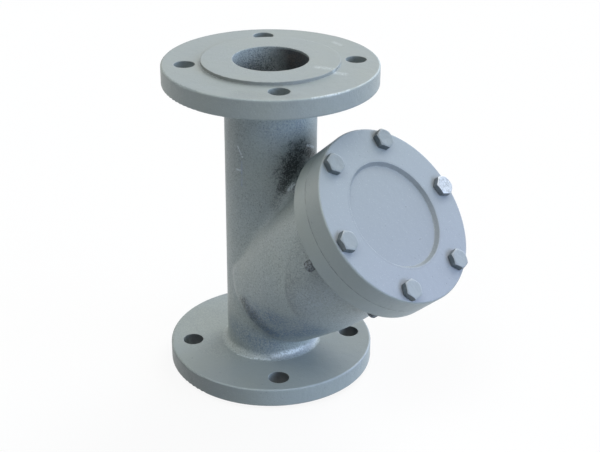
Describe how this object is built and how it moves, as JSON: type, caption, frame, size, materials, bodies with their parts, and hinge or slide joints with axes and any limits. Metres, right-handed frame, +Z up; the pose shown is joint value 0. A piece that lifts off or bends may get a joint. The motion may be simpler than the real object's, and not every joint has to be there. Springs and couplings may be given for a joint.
{
  "type": "flanged dirt strainer",
  "caption": "Cast Y-type dirt strainer with pipe flanges, a slanted chamber, a bolted round cover and a removable perforated screen.",
  "frame": {"origin": "centre of the lower (inlet) raised face, on the axis of the main bore", "axes": "+Z up the main bore from the inlet to the outlet; the screen branch leans towards +X, so XZ is the plane of symmetry of the casting; +Y completes the right-handed frame"},
  "size_m": [0.2769, 0.185, 0.29],
  "materials": {
    "cast_body": "satin paint on cast iron",
    "cast_cover": "satin paint on cast iron",
    "gasket": "matt graphite sheet",
    "painted_bolt": "painted steel",
    "zinc_bolt": "zinc plated steel",
    "screen_sheet": "stainless sheet",
    "screen_wire": "woven stainless wire"
  },
  "bodies": {
    "body": {"strainer_body": "cast_body"},
    "cover": {"cover": "cast_cover", "cover_gasket": "gasket"},
    "screen": {"screen_tube": "screen_sheet", "screen_mesh": "screen_wire", "screen_foot_ring": "screen_sheet", "screen_top_ring": "screen_sheet"},
    "bolt_1": {"bolt_1": "zinc_bolt"},
    "bolt_2": {"bolt_2": "painted_bolt"},
    "bolt_3": {"bolt_3": "painted_bolt"},
    "bolt_4": {"bolt_4": "painted_bolt"},
    "bolt_5": {"bolt_5": "painted_bolt"},
    "bolt_6": {"bolt_6": "painted_bolt"}
  },
  "joints": [
    {"name": "cover_lift", "type": "slide", "parent": "body", "child": "cover", "axis": [0.7373, 0, 0.6756], "range_m": [0, 0.32]},
    {"name": "screen_draw", "type": "slide", "parent": "body", "child": "screen", "axis": [0.7373, 0, 0.6756], "range_m": [0, 0.16]},
    {"name": "bolt_1_out", "type": "slide", "parent": "cover", "child": "bolt_1", "axis": [0.7373, 0, 0.6756], "range_m": [0, 0.055]},
    {"name": "bolt_2_out", "type": "slide", "parent": "cover", "child": "bolt_2", "axis": [0.7373, 0, 0.6756], "range_m": [0, 0.055]},
    {"name": "bolt_3_out", "type": "slide", "parent": "cover", "child": "bolt_3", "axis": [0.7373, 0, 0.6756], "range_m": [0, 0.055]},
    {"name": "bolt_4_out", "type": "slide", "parent": "cover", "child": "bolt_4", "axis": [0.7373, 0, 0.6756], "range_m": [0, 0.055]},
    {"name": "bolt_5_out", "type": "slide", "parent": "cover", "child": "bolt_5", "axis": [0.7373, 0, 0.6756], "range_m": [0, 0.055]},
    {"name": "bolt_6_out", "type": "slide", "parent": "cover", "child": "bolt_6", "axis": [0.7373, 0, 0.6756], "range_m": [0, 0.055]}
  ],
  "couplings": [
    {"joint": "screen_draw", "follows": "cover_lift", "ratio": 0.5}
  ]
}
